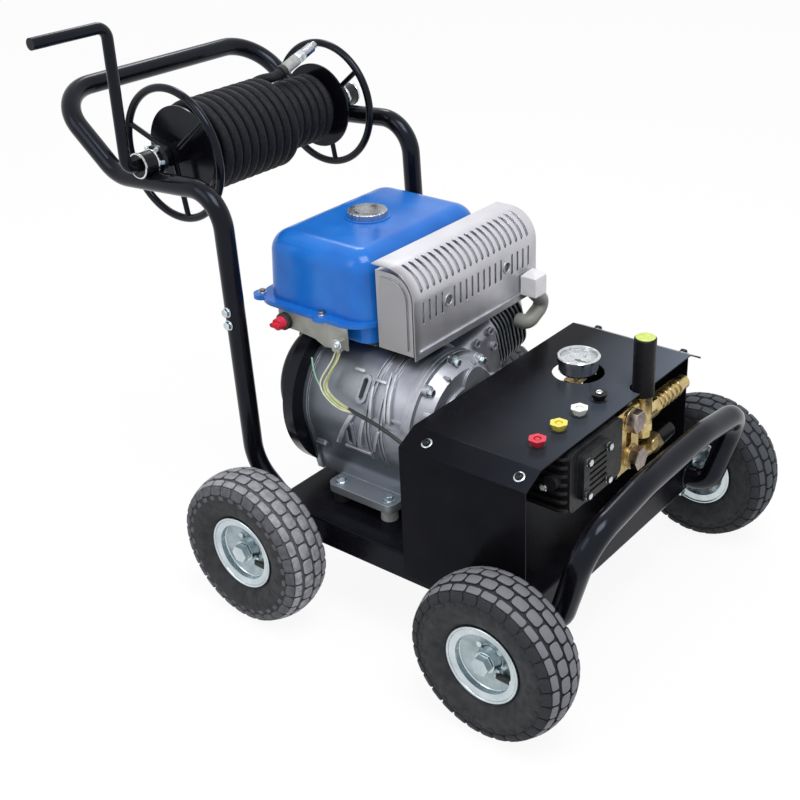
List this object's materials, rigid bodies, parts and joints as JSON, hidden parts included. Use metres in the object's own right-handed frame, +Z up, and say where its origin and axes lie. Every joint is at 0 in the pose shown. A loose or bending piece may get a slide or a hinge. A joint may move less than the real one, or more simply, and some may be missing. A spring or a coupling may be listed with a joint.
{
  "type": "wheeled pressure washer",
  "caption": "Wheeled pressure washer: a petrol engine drives a plunger pump under a folded cover, with a gauge, spray nozzles and a push handle that carries a cranked hose reel.",
  "frame": {"origin": "middle of the bounding box on the floor", "axes": "+X forwards to the bumper, +Y to the machine's left, +Z up"},
  "size_m": [1.0924, 0.774, 0.9339],
  "materials": {
    "black_paint": "gloss black powder coat",
    "zinc": "bright zinc plating",
    "tyre_rubber": "dusty moulded rubber",
    "cast_alloy": "die-cast, unpainted",
    "blue_paint": "gloss blue enamel",
    "silencer_steel": "aluminised sheet",
    "black_plastic": "moulded",
    "grey_plastic": "moulded",
    "red_plastic": "moulded",
    "yellow_plastic": "moulded",
    "white_plastic": "moulded",
    "chrome": "bright",
    "brass": "forged and machined",
    "steel": "machined",
    "iron": "as cast",
    "rubber": "moulded",
    "hose_cover": "textile-textured hose cover",
    "wire_sleeve": "extruded",
    "dial_white": "printed dial",
    "lens_glass": "clear"
  },
  "bodies": {
    "chassis": {"air_cleaner": "black_plastic", "axle_clamps": "zinc", "axles": "steel", "base_tray": "black_paint", "bumper_tube": "black_paint", "carburettor": "cast_alloy", "crankcase": "cast_alloy", "crankcase_cover": "cast_alloy", "cylinder_head": "cast_alloy", "engine_mounts": "rubber", "fan_housing": "black_paint", "frame_bolts": "zinc", "fuel_tank": "blue_paint", "gauge_case": "chrome", "gauge_dial": "dial_white", "gauge_lens": "lens_glass", "handle_legs": "black_paint", "handle_loop": "black_paint", "head_plugs": "steel", "inlet_elbow": "brass", "muffler": "silencer_steel", "muffler_guard": "silencer_steel", "nozzle_holders": "rubber", "outlet_tail": "brass", "plug_cap": "grey_plastic", "pump_cover": "black_paint", "pump_crankcase": "iron", "pump_head": "brass", "recoil_cover": "black_paint", "reel_bearings": "zinc", "rocker_cover": "silencer_steel", "switch_bracket": "zinc", "switch_wires": "wire_sleeve", "unloader_body": "brass"},
    "reel": {"reel_drum": "black_paint", "reel_crank": "black_paint", "hose_winding": "hose_cover", "hose_coupling": "steel"},
    "drive": {"crankshaft": "steel", "flywheel": "iron"},
    "wheel_rear_right": {"tyre_rear_right": "tyre_rubber", "rim_rear_right": "zinc"},
    "wheel_rear_left": {"tyre_rear_left": "tyre_rubber", "rim_rear_left": "zinc"},
    "wheel_front_right": {"tyre_front_right": "tyre_rubber", "rim_front_right": "zinc"},
    "wheel_front_left": {"tyre_front_left": "tyre_rubber", "rim_front_left": "zinc"},
    "engine_switch": {"engine_switch": "red_plastic"},
    "choke_lever": {"choke_lever": "steel"},
    "fuel_lever": {"fuel_lever": "steel"},
    "pull_handle": {"pull_handle": "black_plastic"},
    "fuel_cap": {"fuel_cap": "chrome"},
    "oil_cap": {"oil_cap": "black_plastic"},
    "unloader_knob": {"unloader_knob": "black_plastic"},
    "gauge_needle": {"gauge_needle": "red_plastic"},
    "nozzle_red": {"nozzle_red": "red_plastic"},
    "nozzle_yellow": {"nozzle_yellow": "yellow_plastic"},
    "nozzle_white": {"nozzle_white": "white_plastic"},
    "nozzle_black": {"nozzle_black": "black_plastic"}
  },
  "joints": [
    {"name": "wheel_rear_right_spin", "type": "hinge", "parent": "chassis", "child": "wheel_rear_right", "pos_m": [-0.06025, -0.2962, 0.13], "axis": [0, 1, 0], "continuous": true},
    {"name": "wheel_rear_left_spin", "type": "hinge", "parent": "chassis", "child": "wheel_rear_left", "pos_m": [-0.06025, 0.3444, 0.13], "axis": [0, 1, 0], "continuous": true},
    {"name": "wheel_front_right_spin", "type": "hinge", "parent": "chassis", "child": "wheel_front_right", "pos_m": [0.41625, -0.2962, 0.13], "axis": [0, 1, 0], "continuous": true},
    {"name": "wheel_front_left_spin", "type": "hinge", "parent": "chassis", "child": "wheel_front_left", "pos_m": [0.41625, 0.3444, 0.13], "axis": [0, 1, 0], "continuous": true},
    {"name": "reel_spin", "type": "hinge", "parent": "chassis", "child": "reel", "pos_m": [-0.30775, 0.0241, 0.705], "axis": [0, 1, 0], "continuous": true},
    {"name": "drive_spin", "type": "hinge", "parent": "chassis", "child": "drive", "pos_m": [0.03975, -0.0609, 0.328], "axis": [1, 0, 0], "continuous": true},
    {"name": "engine_switch_turn", "type": "hinge", "parent": "chassis", "child": "engine_switch", "pos_m": [-0.10125, -0.1409, 0.46], "axis": [0, 1, 0], "range_deg": [0, 60]},
    {"name": "choke_lever_swing", "type": "hinge", "parent": "chassis", "child": "choke_lever", "pos_m": [-0.04825, 0.1884, 0.392], "axis": [0, 1, 0], "range_deg": [-60, 0]},
    {"name": "fuel_lever_swing", "type": "hinge", "parent": "chassis", "child": "fuel_lever", "pos_m": [-0.05225, 0.1884, 0.358], "axis": [0, 1, 0], "range_deg": [0, 80]},
    {"name": "starter_pull", "type": "slide", "parent": "chassis", "child": "pull_handle", "axis": [-0.9798, 0, 0.2], "range_m": [0, 0.6], "stiffness_N_per_m": 40, "springref_m": -0.25},
    {"name": "fuel_cap_turn", "type": "hinge", "parent": "chassis", "child": "fuel_cap", "pos_m": [-0.06025, 0.0241, 0.606], "axis": [0, 0, 1], "range_deg": [0, 90]},
    {"name": "oil_cap_turn", "type": "hinge", "parent": "chassis", "child": "oil_cap", "pos_m": [-0.00025, 0.0481, 0.24], "axis": [0, 1, 0], "range_deg": [0, 720]},
    {"name": "unloader_knob_turn", "type": "hinge", "parent": "chassis", "child": "unloader_knob", "pos_m": [0.41975, 0.0991, 0.4], "axis": [0, 0, 1], "range_deg": [0, 720]},
    {"name": "gauge_needle_turn", "type": "hinge", "parent": "chassis", "child": "gauge_needle", "pos_m": [0.30775, 0.0901, 0.406], "axis": [0, 0, 1], "range_deg": [-270, 0], "stiffness_Nm_per_rad": 0.001},
    {"name": "nozzle_red_lift", "type": "slide", "parent": "chassis", "child": "nozzle_red", "axis": [0, 0, 1], "range_m": [0, 0.05]},
    {"name": "nozzle_yellow_lift", "type": "slide", "parent": "chassis", "child": "nozzle_yellow", "axis": [0, 0, 1], "range_m": [0, 0.05]},
    {"name": "nozzle_white_lift", "type": "slide", "parent": "chassis", "child": "nozzle_white", "axis": [0, 0, 1], "range_m": [0, 0.05]},
    {"name": "nozzle_black_lift", "type": "slide", "parent": "chassis", "child": "nozzle_black", "axis": [0, 0, 1], "range_m": [0, 0.05]}
  ]
}
